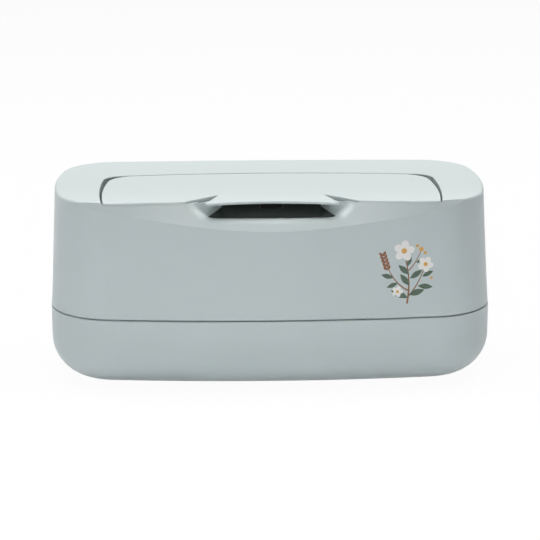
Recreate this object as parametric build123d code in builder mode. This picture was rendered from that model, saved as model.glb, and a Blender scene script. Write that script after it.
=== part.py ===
from build123d import *
from math import cos, hypot, radians, sin, sqrt
import os

# Baby wipes box: a tray, a top shell with a hinged lid, and a weighted plate that rests on the wipes.
# Millimetres. +Z is up, +X is to the right, and the front with the lifting tab faces -Y.
# The origin is at the middle of the footprint, on the surface that the feet stand on.

os.makedirs("parts", exist_ok=True)

# Overall sizes
overall_width = 225.0
overall_depth = 114.6
body_height = 94.9
foot_proud = 1.0
seam_height = 36.5
seam_gap = 0.6

# Plan of the tray and of the shell's lower edge
rim_corner = 33.0
rim_front_bow = 8.0
rim_side_bow = 5.0
rim_back_bow = 3.0
shell_step_in = 0.25

# Plan of the shell's top edge
side_taper = 2.9
depth_taper = 3.3
top_corner = 27.0
top_front_bow = 8.0
top_side_bow = 8.0
top_back_bow = 2.5
top_edge_round = 1.6

# Walls
tray_wall = 2.4
shell_wall = 2.2
bottom_round = 21.0
seam_edge_round = 0.5

# Tongue of the tray, which the shell slides over, and the soft ring round it
tongue_height = 6.0
tongue_wall = 1.6
tongue_clearance = 0.6
tongue_taper = 4.0
rim_seal_height = 2.0
rim_seal_sunk = 0.6
rim_seal_proud = 0.2
rim_seal_rise = 1.8

# Ribs inside the shell that stand on the tongue
rest_rib_width = 2.4
rest_rib_length = 18.0
rest_rib_x = 62.0

# Feet
foot_radius = 6.5
foot_sunk = 0.8
foot_x = 76.0
foot_y = 24.0
foot_edge = 0.3

# Slanted facet at the front: distance from the middle, depth position of its crease, and its lean
facet_profile = (
    (0.0, -42.7, 0.885),
    (44.0, -44.3, 0.86),
    (64.0, -46.2, 0.70),
    (76.0, -47.4, 0.47),
    (82.0, -47.4, 0.42),
    (88.0, -46.2, 0.55),
    (97.0, -43.0, 0.80),
    (118.0, -36.0, 0.80),
)
facet_low = 30.0
facet_wall = 2.4

# Arc that follows the crease between the sides of the lid
crease_y_middle = -42.7
crease_y_side = -47.6
crease_side_x = 82.0

# Lid plan and its gaps
lid_half_width = 84.6
lid_widest_y = -28.0
lid_front_x = 82.3
lid_side_front_y = -53.9
lid_rear_x = 80.8
lid_rear_y = 19.5
lid_rear_fall = 5.2
lid_rear_fall_x = 77.0
lid_corner = 15.0
well_half_width = 86.0
well_widest_y = -20.0
well_front_x = 82.9
well_rear_x = 84.4
lid_rear_gap = 1.3
well_corner = 10.5
well_edge_round = 0.6
lid_plate = 1.8
lid_lip = 1.2
lid_lip_gap = 0.1
lid_edge_round = 0.6
lid_crease_round = 1.5
lip_band = 3.2

# Lifting tab between two notches
tab_half_width = 33.4
tab_front_y = -46.2
tab_side_y = -50.7
tab_corner = 0.8
notch_inner_x = 26.5
notch_inner_y = -31.2
notch_outer_x = 41.6

# Well that the lid lies in
well_depth = 13.6
well_floor = 2.0
well_wall = 2.0
ridge_width = 2.6
rim_under_lid = 2.1
well_front_corner = 1.5

# Finger recess under the tab
recess_depth = 10.5
recess_wall = 2.2
recess_top_front = (42.0, -53.8)
recess_top_side = (41.5, -45.0)
recess_top_back = (27.0, -31.9)
recess_low_front = (30.0, -43.3)
recess_low_side = (29.2, -39.9)
recess_low_back = (23.0, -37.85)
recess_corner = 5.0
recess_low_corner = 1.4
recess_lip_round = 5.5
recess_rib_x = 18.1
recess_rib_width = 0.6
recess_rib_proud = 0.5
recess_rib_low = 6.4

# Dispensing opening, its raised collar and the soft ring on it
opening_half_width = 58.0
opening_front_y = -18.4
opening_back_y = 5.2
opening_corner = 9.0
collar_wall = 1.8
collar_top_below = 6.3
lid_seal_height = 1.3
lid_seal_round = 0.4
lid_seal_gap = 0.3
lid_ring_wall = 1.4

# Hinge
hinge_y = 10.0
hinge_below = 3.3
hinge_x = 67.0
pin_radius = 0.9
pin_running = 0.06
knuckle_radius = 2.2
knuckle_length = 6.8
ear_radius = 2.0
ear_thickness = 2.4
ear_side_gap = 0.3
ear_relief = 0.35
stem_lean = 12.0
stem_rear = 1.1

# Latch: a button in the recess's rear wall, which frees the lid's hook when it is pushed in
latch_block_half_width = 12.5
latch_block_back_y = -21.1
latch_block_below = 2.3
button_room_half_width = 7.0
button_room_front_y = -32.6
button_room_back_y = -22.3
button_room_top = 3.2
button_room_low = 6.4
button_running = 0.2
window_half_width = 5.6
window_top = 3.4
window_low = 6.1
window_gap = 0.25
button_back_y = -24.6
button_travel = 2.0
hook_half_width = 2.4
hook_front_y = -28.9
hook_thickness = 1.1
hook_barb = 0.45
hook_barb_height = 1.1
hook_low = 6.2
hook_side_gap = 0.5
catch_clearance = 0.15
catch_depth = 0.8
hood_half_width = 11.1
hood_back_y = -22.5
retainer_thickness = 1.6
retainer_gap = 0.3
screw_x = 9.0
screw_y = -27.4
screw_radius = 0.9
screw_length = 2.8
screw_head_radius = 1.7
screw_head_height = 1.1
screw_hole_gap = 0.2
leaf_thickness = 0.3
leaf_height = 2.0
leaf_half_length = 6.4

# Press plate
plate_inset = 14.0
plate_height = 9.0
plate_skin = 2.0
plate_rim = 1.8
plate_ledge = 1.8
plate_leg_height = 2.0
plate_leg_radius = 4.0
plate_leg_x = 70.0
plate_leg_y = 22.0
plate_edge_round = 1.5
slot_length = 96.0
slot_width = 15.0
slot_wall = 2.0
cover_thickness = 1.6
cover_gap = 0.15
ballast_length = 34.0
ballast_width = 60.0
ballast_height = 4.0
ballast_x = 72.0
ballast_fence = 1.4
ballast_gap = 0.2

# Heights that follow
top_z = foot_proud + body_height
tray_rim_z = foot_proud + seam_height - seam_gap / 2
shell_low_z = tray_rim_z + seam_gap
tongue_top_z = tray_rim_z + tongue_height
inner_floor_z = foot_proud + tray_wall
well_floor_z = top_z - well_depth
hinge_z = top_z - hinge_below
ridge_top_z = top_z - lid_lip - lid_lip_gap
collar_top_z = top_z - collar_top_below
lid_seal_top_z = collar_top_z + lid_seal_height
plate_low_z = inner_floor_z + plate_leg_height
above_all = 5.0
far = 70.0


def footprint(half_width, half_depth, corner, front_bow, side_bow, back_bow):
    """Rounded rectangle with bowed edges, seen from above."""
    corner_x = half_width - side_bow
    front_y = front_bow - half_depth
    back_y = half_depth - back_bow
    middle_y = (front_y + back_y) / 2
    with BuildSketch() as plan:
        with BuildLine():
            ThreePointArc((-corner_x, front_y), (0, -half_depth), (corner_x, front_y))
            ThreePointArc((corner_x, front_y), (half_width, middle_y), (corner_x, back_y))
            ThreePointArc((corner_x, back_y), (0, half_depth), (-corner_x, back_y))
            ThreePointArc((-corner_x, back_y), (-half_width, middle_y), (-corner_x, front_y))
        make_face()
        fillet(plan.vertices(), corner)
    return plan.sketch


def rim_outline(inset):
    """Plan of the tray, drawn in by an inset."""
    return footprint(
        overall_width / 2 - inset,
        overall_depth / 2 - inset,
        rim_corner - inset,
        rim_front_bow,
        rim_side_bow,
        rim_back_bow,
    )


def top_outline(inset):
    """Plan of the shell's top edge, drawn in by an inset."""
    return footprint(
        overall_width / 2 - side_taper - inset,
        overall_depth / 2 - depth_taper - inset,
        top_corner - inset,
        top_front_bow,
        top_side_bow,
        top_back_bow,
    )


def prism(outline, low_z, high_z):
    """Upright solid over an outline."""
    with BuildPart() as solid:
        with BuildSketch(Plane.XY.offset(low_z)):
            add(outline)
        extrude(amount=high_z - low_z)
    return solid.part


def tapered(low_outline, low_z, high_outline, high_z):
    """Solid with straight sides between two outlines."""
    with BuildPart() as solid:
        with BuildSketch(Plane.XY.offset(low_z)):
            add(low_outline)
        with BuildSketch(Plane.XY.offset(high_z)):
            add(high_outline)
        loft(ruled=True)
    return solid.part


def block(low_corner, high_corner):
    """Box between two corners."""
    size = Vector(*high_corner) - Vector(*low_corner)
    middle = (Vector(*high_corner) + Vector(*low_corner)) * 0.5
    return Pos(middle) * Box(size.X, size.Y, size.Z, mode=Mode.PRIVATE)


def rod(radius, low_x, high_x, y, z):
    """Round bar along X."""
    with BuildPart() as bar:
        with BuildSketch(Plane.YZ.offset(low_x)):
            with Locations((y, z)):
                Circle(radius)
        extrude(amount=high_x - low_x)
    return bar.part


def arc_fall(x, fall, at_x):
    """How far an arc that falls by a given amount at at_x has fallen at x."""
    radius = (at_x**2 + fall**2) / (2 * fall)
    return radius - sqrt(radius**2 - x**2)


def crease_y(x):
    """Depth position of the crease between the top and the facet."""
    return crease_y_middle - arc_fall(x, crease_y_middle - crease_y_side, crease_side_x)


def in_front_of_crease(depth):
    """Space in front of the facet, moved back into the shell by a depth."""
    wide = facet_profile[-1][0]
    with BuildPart() as space:
        for height in (-facet_low, above_all):
            points = [(x, crease + lean * height + depth) for x, crease, lean in facet_profile]
            with BuildSketch(Plane.XY.offset(top_z + height)):
                with BuildLine():
                    line = Spline([(-x, y) for x, y in points[:0:-1]] + points)
                    Polyline(line @ 1, (wide, -2 * overall_depth), (-wide, -2 * overall_depth), line @ 0)
                make_face()
        loft(ruled=True)
    return space.part


def lies_on_facet(edge, half_width, tolerance=0.1):
    """Whether an edge within a half width lies on the facet."""
    points = [edge @ share for share in (0, 0.5, 1)]
    if max(abs(point.X) for point in points) > half_width:
        return False
    return max(facet_face.distance_to(Vertex(*point)) for point in points) < tolerance


def lies_in_well_rim(edge):
    """Whether an edge of the top bounds the well."""
    middle = edge @ 0.5
    return abs(middle.X) < well_half_width + well_wall and middle.Y < lid_rear_y + 2 * well_wall


def bowed_area(half_width, widest_y, front_x, rear_x, rear_y, rear_corner, front_line=None):
    """Plan of the lid or of its well. The front runs far forward, or along the crease at an offset."""
    side_front_y = lid_side_front_y
    side_rear_y = rear_y - arc_fall(rear_x, lid_rear_fall, lid_rear_fall_x)
    with BuildSketch() as plan:
        with BuildLine():
            ThreePointArc((front_x, side_front_y), (half_width, widest_y), (rear_x, side_rear_y))
            ThreePointArc((rear_x, side_rear_y), (0, rear_y), (-rear_x, side_rear_y))
            ThreePointArc((-rear_x, side_rear_y), (-half_width, widest_y), (-front_x, side_front_y))
            Polyline(
                (-front_x, side_front_y),
                (-front_x, -far),
                (front_x, -far),
                (front_x, side_front_y),
            )
        make_face()
        fillet(plan.vertices().sort_by(Axis.Y)[-2:], rear_corner)
        if front_line is not None:
            wide = overall_width / 2
            front_end_y = crease_y(wide) + front_line
            with BuildLine():
                ThreePointArc((-wide, front_end_y), (0, crease_y(0) + front_line), (wide, front_end_y))
                Polyline((wide, front_end_y), (wide, -2 * far), (-wide, -2 * far), (-wide, front_end_y))
            make_face(mode=Mode.SUBTRACT)
    return plan.sketch


def lid_area(grow=0.0, front_line=None):
    """Plan of the lid, moved out by an amount."""
    return bowed_area(
        lid_half_width + grow,
        lid_widest_y,
        lid_front_x + grow,
        lid_rear_x + grow,
        lid_rear_y + grow,
        lid_corner,
        front_line,
    )


def well_area(grow=0.0, front_line=None):
    """Plan of the well that the lid lies in, moved out by an amount."""
    return bowed_area(
        well_half_width + grow,
        well_widest_y,
        well_front_x + grow,
        well_rear_x + grow,
        lid_rear_y + lid_rear_gap + grow,
        well_corner + grow,
        front_line,
    )


def recess_outline(front, side, back, corner):
    """Plan of the finger recess at one height."""
    with BuildSketch() as plan:
        with BuildLine():
            Polyline(
                (-front[0], front[1]),
                (-side[0], side[1]),
                (-back[0], back[1]),
                (back[0], back[1]),
                (side[0], side[1]),
                (front[0], front[1]),
                close=True,
            )
        make_face()
        fillet(plan.vertices(), corner)
    return plan.sketch


def grown(outline, amount):
    """Outline moved out by an amount, with arcs kept."""
    with BuildSketch() as plan:
        add(outline)
        offset(amount=amount)
    return plan.sketch


def ring_outline(grow):
    """Plan of the dispensing opening, moved out by an amount."""
    with BuildSketch() as plan:
        with Locations((0, (opening_front_y + opening_back_y) / 2)):
            RectangleRounded(
                2 * (opening_half_width + grow),
                opening_back_y - opening_front_y + 2 * grow,
                opening_corner + grow,
            )
    return plan.sketch


# Space inside the tray: a rounded bowl that draws in to the tongue
tray_bowl_top_z = tray_rim_z - tongue_taper - tongue_wall
tongue_inset = shell_step_in + shell_wall + tongue_clearance
with BuildPart() as tray_space:
    with BuildSketch(Plane.XY.offset(inner_floor_z)):
        add(rim_outline(tray_wall))
    extrude(amount=tray_bowl_top_z - inner_floor_z)
    fillet(tray_space.faces().sort_by(Axis.Z)[0].edges(), bottom_round - tray_wall)
tray_throat = tapered(
    rim_outline(tray_wall),
    tray_bowl_top_z,
    rim_outline(tongue_inset + tongue_wall),
    tray_bowl_top_z + tongue_taper,
)
tray_mouth = prism(
    rim_outline(tongue_inset + tongue_wall), tray_bowl_top_z + tongue_taper, tongue_top_z + above_all
)

# Soft ring in a groove round the tongue
rim_seal_low_z = tray_rim_z + rim_seal_rise
with BuildPart() as rim_seal:
    with BuildSketch(Plane.XY.offset(rim_seal_low_z)):
        add(rim_outline(tongue_inset - rim_seal_proud))
        add(rim_outline(tongue_inset + rim_seal_sunk), mode=Mode.SUBTRACT)
    extrude(amount=rim_seal_height)

foot_places = [(x, y) for x in (-foot_x, foot_x) for y in (-foot_y, foot_y)]

tray_tongue = prism(rim_outline(tongue_inset), tray_rim_z - tongue_wall, tongue_top_z)
with BuildPart() as base_tray:
    with BuildSketch(Plane.XY.offset(foot_proud)):
        add(rim_outline(0))
    extrude(amount=tray_rim_z - foot_proud)
    fillet(base_tray.faces().sort_by(Axis.Z)[0].edges(), bottom_round)
    fillet(base_tray.faces().sort_by(Axis.Z)[-1].edges(), seam_edge_round)
    add(tray_tongue)
    add(tray_space.part, mode=Mode.SUBTRACT)
    add(tray_throat, mode=Mode.SUBTRACT)
    add(tray_mouth, mode=Mode.SUBTRACT)
    add(rim_seal.part, mode=Mode.SUBTRACT)
    with BuildSketch(Plane.XY.offset(foot_proud)):
        with Locations(*foot_places):
            Circle(foot_radius)
    extrude(amount=foot_sunk, mode=Mode.SUBTRACT)

base_tray.part.label = "base_tray"
export_step(base_tray.part, "parts/base_tray.step")
rim_seal.part.label = "rim_seal"
export_step(rim_seal.part, "parts/rim_seal.step")

# Feet
foot_names = ("foot_front_left", "foot_rear_left", "foot_front_right", "foot_rear_right")
for foot_name, foot_place in zip(foot_names, foot_places):
    with BuildPart() as foot:
        with BuildSketch():
            with Locations(foot_place):
                Circle(foot_radius)
        extrude(amount=foot_proud + foot_sunk)
        chamfer(foot.faces().sort_by(Axis.Z)[0].edges(), foot_edge)
    foot.part.label = foot_name
    export_step(foot.part, f"parts/{foot_name}.step")

# Finger recess, and the same shape with its walls
recess_high = recess_outline(recess_top_front, recess_top_side, recess_top_back, recess_corner)
recess_low = recess_outline(recess_low_front, recess_low_side, recess_low_back, recess_low_corner)
recess_low_z = top_z - recess_depth
recess_space = tapered(recess_low, recess_low_z, recess_high, top_z)
recess_body = tapered(grown(recess_low, recess_wall), recess_low_z, grown(recess_high, recess_wall), top_z)
recess_base = prism(grown(recess_low, recess_wall), recess_low_z - recess_wall, recess_low_z)
recess_lean = (recess_top_back[1] - recess_low_back[1]) / recess_depth
rib_top_y = recess_top_back[1] - recess_lean * rim_under_lid
rib_low_y = recess_top_back[1] - recess_lean * recess_rib_low
with BuildPart() as recess_room:
    add(recess_space)
    for rib_side in (-recess_rib_x, recess_rib_x):
        with BuildSketch(Plane.YZ.offset(rib_side - recess_rib_width / 2)):
            with BuildLine():
                Polyline(
                    (rib_top_y + recess_rib_proud, top_z - rim_under_lid),
                    (rib_low_y + recess_rib_proud, top_z - recess_rib_low),
                    (rib_low_y - recess_rib_proud, top_z - recess_rib_low),
                    (rib_top_y - recess_rib_proud, top_z - rim_under_lid),
                    close=True,
                )
            make_face()
        extrude(amount=recess_rib_width, mode=Mode.SUBTRACT)
above_rim = block((-far, -overall_depth, top_z - rim_under_lid), (far, far, top_z + above_all))
with BuildPart() as recess_shell:
    add(recess_body)
    add(recess_base)
    add(above_rim, mode=Mode.SUBTRACT)

# Hollow block that holds the latch button, open from below
latch_low_z = well_floor_z - well_floor
latch_block = block(
    (-latch_block_half_width, recess_low_side[1], latch_low_z),
    (latch_block_half_width, latch_block_back_y, top_z - latch_block_below),
)
hood_box = block(
    (-hood_half_width, recess_low_side[1], latch_low_z - above_all),
    (hood_half_width, hood_back_y, top_z - button_room_low),
)
with BuildPart() as hood_space:
    add(hood_box)
    add(recess_shell.part, mode=Mode.SUBTRACT)
    add(recess_space, mode=Mode.SUBTRACT)
button_room = block(
    (-button_room_half_width, button_room_front_y, top_z - button_room_low),
    (button_room_half_width, button_room_back_y, top_z - button_room_top),
)
button_window = block(
    (-window_half_width, recess_low_side[1], top_z - window_low),
    (window_half_width, button_room_front_y, top_z - window_top),
)
hook_back_y = hook_front_y + hook_thickness
hook_window = block(
    (-hook_half_width - hook_side_gap, hook_front_y - hook_side_gap, top_z - button_room_top),
    (
        hook_half_width + hook_side_gap,
        hook_back_y + hook_barb + hook_side_gap,
        top_z - latch_block_below,
    ),
)

# Hinge ears: an eye round the pin on a stem that leans forward, out of the lid's way
stem_length = (well_depth - hinge_below) / cos(radians(stem_lean))
stem_down = Vector(-sin(radians(stem_lean)), -cos(radians(stem_lean)))
stem_across = Vector(cos(radians(stem_lean)), -sin(radians(stem_lean)))
hinge_centre = Vector(hinge_y, hinge_z)
stem_corners = [
    hinge_centre + stem_across * stem_rear,
    hinge_centre + stem_across * stem_rear + stem_down * (stem_length + well_floor),
    hinge_centre - stem_across * ear_radius + stem_down * (stem_length + well_floor),
    hinge_centre - stem_across * ear_radius,
]
ear_reach = knuckle_length / 2 + ear_side_gap
ear_starts = []
for hinge_side in (-hinge_x, hinge_x):
    ear_starts.append(hinge_side - ear_reach - ear_thickness)
    ear_starts.append(hinge_side + ear_reach)
with BuildPart() as hinge_ears:
    for ear_start in ear_starts:
        with BuildSketch(Plane.YZ.offset(ear_start)):
            with Locations((hinge_y, hinge_z)):
                Circle(ear_radius)
            with BuildLine():
                Polyline(*[(corner.X, corner.Y) for corner in stem_corners], close=True)
            make_face()
        extrude(amount=ear_thickness)

collar = prism(ring_outline(collar_wall), well_floor_z, collar_top_z)
with BuildPart() as well_space:
    with BuildSketch(Plane.XY.offset(well_floor_z)) as well_plan:
        add(well_area(0, ridge_width))
        fillet(well_plan.vertices().group_by(Axis.Y)[0], well_front_corner)
    extrude(amount=ridge_top_z - well_floor_z)
    add(recess_shell.part, mode=Mode.SUBTRACT)
    add(latch_block, mode=Mode.SUBTRACT)
    add(collar, mode=Mode.SUBTRACT)
    add(hinge_ears.part, mode=Mode.SUBTRACT)
lid_space = prism(well_area(), ridge_top_z, top_z + above_all)
well_body = prism(well_area(well_wall), well_floor_z - well_floor, top_z)

# Space under the shell
shell_ceiling_z = top_z - shell_wall
facet_space = in_front_of_crease(0)
facet_face = facet_space.faces().sort_by(Axis.Y)[-1]
facet_slant = hypot(1, facet_profile[0][2])
facet_backing = in_front_of_crease(facet_wall * facet_slant)
shell_hollow = tapered(
    rim_outline(shell_step_in + shell_wall), shell_low_z, top_outline(shell_wall), top_z
)
shell_skirt = prism(rim_outline(shell_step_in + shell_wall), shell_low_z - above_all, shell_low_z)
ceiling_slab = block(
    (-overall_width, -overall_depth, shell_ceiling_z),
    (overall_width, overall_depth, top_z + above_all),
)
rib_inner_y = overall_depth / 2 - tongue_inset - tongue_wall
rib_inner_x = overall_width / 2 - tongue_inset - tongue_wall
rib_top_z = tongue_top_z + rest_rib_length
rib_front_y = arc_fall(rest_rib_x, rim_front_bow, overall_width / 2) - rib_inner_y
rib_back_y = rib_inner_y - arc_fall(rest_rib_x, rim_back_bow, overall_width / 2)
side_rib_y = (rim_front_bow - rim_back_bow) / 2
half_rib = rest_rib_width / 2
rest_ribs = []
for rib_x in (-rest_rib_x, rest_rib_x):
    for rib_near, rib_far in ((-overall_depth, rib_front_y), (rib_back_y, overall_depth)):
        rib_low_corner = (rib_x - half_rib, rib_near, tongue_top_z)
        rest_ribs.append(block(rib_low_corner, (rib_x + half_rib, rib_far, rib_top_z)))
for rib_near, rib_far in ((-overall_width, -rib_inner_x), (rib_inner_x, overall_width)):
    rib_low_corner = (rib_near, side_rib_y - half_rib, tongue_top_z)
    rest_ribs.append(block(rib_low_corner, (rib_far, side_rib_y + half_rib, rib_top_z)))
with BuildPart() as shell_space:
    add(shell_hollow)
    add(shell_skirt)
    add(ceiling_slab, mode=Mode.SUBTRACT)
    add(facet_backing, mode=Mode.SUBTRACT)
    add(well_body, mode=Mode.SUBTRACT)
    add(recess_shell.part, mode=Mode.SUBTRACT)
    for rest_rib in rest_ribs:
        add(rest_rib, mode=Mode.SUBTRACT)

opening_prism = prism(ring_outline(0), well_floor_z - well_floor - above_all, collar_top_z + above_all)
pin_rods = []
ear_end = ear_reach + ear_thickness
for hinge_side in (-hinge_x, hinge_x):
    pin_rods.append(rod(pin_radius, hinge_side - ear_end, hinge_side + ear_end, hinge_y, hinge_z))

with BuildPart() as top_shell:
    add(tapered(rim_outline(shell_step_in), shell_low_z, top_outline(0), top_z))
    fillet(top_shell.faces().sort_by(Axis.Z)[-1].edges(), top_edge_round)
    fillet(top_shell.faces().sort_by(Axis.Z)[0].edges(), seam_edge_round)
    add(facet_space, mode=Mode.SUBTRACT)
    add(shell_space.part, mode=Mode.SUBTRACT)
    add(lid_space, mode=Mode.SUBTRACT)
    top_face = top_shell.faces().sort_by(Axis.Z)[-1]
    well_rim = [edge for edge in top_face.edges() if lies_in_well_rim(edge)]
    fillet(well_rim, well_edge_round)
    add(well_space.part, mode=Mode.SUBTRACT)
    add(recess_room.part, mode=Mode.SUBTRACT)
    recess_rim = [edge for edge in top_shell.edges() if lies_on_facet(edge, recess_top_front[0])]
    fillet(recess_rim, recess_lip_round)
    add(opening_prism, mode=Mode.SUBTRACT)
    add(hood_space.part, mode=Mode.SUBTRACT)
    add(button_room, mode=Mode.SUBTRACT)
    add(button_window, mode=Mode.SUBTRACT)
    add(hook_window, mode=Mode.SUBTRACT)
    for pin_rod in pin_rods:
        add(pin_rod, mode=Mode.SUBTRACT)
    with BuildSketch(Plane.XY.offset(top_z - button_room_low)):
        with Locations((-screw_x, screw_y), (screw_x, screw_y)):
            Circle(screw_radius)
    extrude(amount=screw_length, mode=Mode.SUBTRACT)

top_shell.part.label = "top_shell"
export_step(top_shell.part, "parts/top_shell.step")

# Hinge pins
for pin_name, pin_x in zip(("hinge_pin_left", "hinge_pin_right"), (-hinge_x, hinge_x)):
    with BuildPart() as hinge_pin:
        with BuildSketch(Plane.YZ.offset(pin_x - ear_end)):
            with Locations((hinge_y, hinge_z)):
                Circle(pin_radius)
        extrude(amount=2 * ear_end)
    hinge_pin.part.label = pin_name
    export_step(hinge_pin.part, f"parts/{pin_name}.step")

# Soft ring on the collar
with BuildPart() as lid_seal:
    with BuildSketch(Plane.XY.offset(collar_top_z)):
        add(ring_outline(collar_wall))
        add(ring_outline(0), mode=Mode.SUBTRACT)
    extrude(amount=lid_seal_height)
    fillet(lid_seal.faces().sort_by(Axis.Z)[-1].edges(), lid_seal_round)
lid_seal.part.label = "lid_seal"
export_step(lid_seal.part, "parts/lid_seal.step")

# Lid: a plate cut to the facet at the front, with a tab between two notches
lid_low_z = top_z - lid_plate
hook_low_z = top_z - hook_low
ring_low_z = lid_seal_top_z + lid_seal_gap
ring_slack = (collar_wall - lid_ring_wall) / 2
tab_arc_points = ((-tab_half_width, tab_side_y), (0, tab_front_y), (tab_half_width, tab_side_y))

notch_end_x = 2 * notch_outer_x - notch_inner_x
notch_end_y = 2 * crease_y(notch_outer_x) - notch_inner_y
with BuildSketch() as notched:
    with BuildLine():
        Polyline(
            (-notch_end_x, notch_end_y),
            (-notch_inner_x, notch_inner_y),
            (notch_inner_x, notch_inner_y),
            (notch_end_x, notch_end_y),
            close=True,
        )
    make_face()
with BuildSketch() as tab_area:
    with BuildLine():
        ThreePointArc(*tab_arc_points)
        Polyline(
            tab_arc_points[2],
            (notch_inner_x, notch_inner_y),
            (-notch_inner_x, notch_inner_y),
            tab_arc_points[0],
        )
    make_face()
    fillet(tab_area.vertices().sort_by(Axis.Y)[:2], tab_corner)

thin_band = block(
    (-overall_width, -overall_depth, lid_low_z - above_all),
    (overall_width, overall_depth, top_z - lid_lip),
)
behind_band = prism(lid_area(2 * above_all, lip_band), lid_low_z - 2 * above_all, top_z)
with BuildPart() as lip_relief:
    add(thin_band)
    add(behind_band, mode=Mode.SUBTRACT)

with BuildPart() as lid_face:
    with BuildSketch(Plane.XY.offset(lid_low_z)):
        add(lid_area())
    extrude(amount=lid_plate)
    add(facet_space, mode=Mode.SUBTRACT)
    with BuildSketch(Plane.XY.offset(lid_low_z)):
        add(notched.sketch)
    extrude(amount=lid_plate, mode=Mode.SUBTRACT)
    with BuildSketch(Plane.XY.offset(lid_low_z)):
        add(tab_area.sketch)
    extrude(amount=lid_plate)
    lid_rim = lid_face.faces().sort_by(Axis.Z)[-1].edges()
    fillet([edge for edge in lid_rim if lies_on_facet(edge, overall_width)], lid_crease_round)
    lid_rim = lid_face.faces().sort_by(Axis.Z)[-1].edges()
    fillet(
        [edge for edge in lid_rim if not lies_on_facet(edge, overall_width, lid_crease_round)],
        lid_edge_round,
    )
    add(lip_relief.part, mode=Mode.SUBTRACT)

knuckle_reach = knuckle_length / 2
with BuildPart() as lid:
    add(lid_face.part)
    with BuildSketch(Plane.XY.offset(ring_low_z)):
        add(ring_outline(collar_wall - ring_slack))
        add(ring_outline(ring_slack), mode=Mode.SUBTRACT)
    extrude(amount=lid_low_z - ring_low_z)
    for hinge_side in (-hinge_x, hinge_x):
        with BuildSketch(Plane.YZ.offset(hinge_side - knuckle_reach)):
            with Locations((hinge_y, hinge_z)):
                Circle(knuckle_radius)
        extrude(amount=knuckle_length)
        for ear_start in (-ear_end - ear_side_gap, knuckle_reach):
            with BuildSketch(Plane.YZ.offset(hinge_side + ear_start)):
                with Locations((hinge_y, hinge_z)):
                    Circle(ear_radius + ear_relief)
            extrude(amount=ear_thickness + 2 * ear_side_gap, mode=Mode.SUBTRACT)
        with BuildSketch(Plane.YZ.offset(hinge_side - knuckle_reach)):
            with Locations((hinge_y, hinge_z)):
                Circle(pin_radius + pin_running)
        extrude(amount=knuckle_length, mode=Mode.SUBTRACT)
    with BuildSketch(Plane.YZ.offset(-hook_half_width)):
        with BuildLine():
            Polyline(
                (hook_front_y, lid_low_z),
                (hook_front_y, hook_low_z),
                (hook_back_y, hook_low_z),
                (hook_back_y + hook_barb, hook_low_z + hook_barb_height / 2),
                (hook_back_y + hook_barb, hook_low_z + hook_barb_height),
                (hook_back_y, hook_low_z + hook_barb_height),
                (hook_back_y, lid_low_z),
                close=True,
            )
        make_face()
    extrude(amount=2 * hook_half_width)

lid.part.label = "lid"
export_step(lid.part, "parts/lid.step")

# Latch button: a face in the window, a frame round the hook, and a ledge over the hook's barb
button_low_z = top_z - button_room_low + button_running
button_top_z = top_z - button_room_top - button_running
button_half_width = button_room_half_width - button_running
button_front_y = button_room_front_y + button_running
catch_y = hook_back_y + hook_barb + catch_clearance
catch_low_z = hook_low_z + hook_barb_height + catch_clearance
frame_front_y = hook_front_y - button_travel - button_running
frame_half_width = hook_half_width + hook_side_gap
face_low_z = top_z - window_low + window_gap
face_top_z = top_z - window_top - window_gap
button_body = block(
    (-button_half_width, button_front_y, button_low_z),
    (button_half_width, button_back_y, button_top_z),
)
hook_frame = block(
    (-frame_half_width, frame_front_y, button_low_z),
    (frame_half_width, catch_y, button_top_z),
)
below_catch = block(
    (-frame_half_width, catch_y, button_low_z),
    (frame_half_width, catch_y + catch_depth, catch_low_z),
)
with BuildPart() as latch_button:
    add(button_body)
    with BuildSketch(Plane.YZ.offset(-window_half_width + window_gap)):
        with BuildLine():
            Polyline(
                (button_front_y, face_low_z),
                (recess_top_back[1] - recess_lean * (top_z - face_low_z), face_low_z),
                (recess_top_back[1] - recess_lean * (top_z - face_top_z), face_top_z),
                (button_front_y, face_top_z),
                close=True,
            )
        make_face()
    extrude(amount=2 * (window_half_width - window_gap))
    add(hook_frame, mode=Mode.SUBTRACT)
    add(below_catch, mode=Mode.SUBTRACT)
latch_button.part.label = "latch_button"
export_step(latch_button.part, "parts/latch_button.step")

# Leaf spring between the button and the block's rear wall
leaf_front_y = button_back_y
leaf_low_z = top_z - (button_room_top + button_room_low) / 2 - leaf_height / 2
with BuildPart() as latch_spring:
    with BuildSketch(Plane.XY.offset(leaf_low_z)):
        with BuildLine():
            leaf_front = ThreePointArc(
                (-leaf_half_length, button_room_back_y - leaf_thickness),
                (0, leaf_front_y),
                (leaf_half_length, button_room_back_y - leaf_thickness),
            )
            leaf_back = ThreePointArc(
                (-leaf_half_length, button_room_back_y),
                (0, leaf_front_y + leaf_thickness),
                (leaf_half_length, button_room_back_y),
            )
            Line(leaf_front @ 0, leaf_back @ 0)
            Line(leaf_front @ 1, leaf_back @ 1)
        make_face()
    extrude(amount=leaf_height)
latch_spring.part.label = "latch_spring"
export_step(latch_spring.part, "parts/latch_spring.step")

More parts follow.
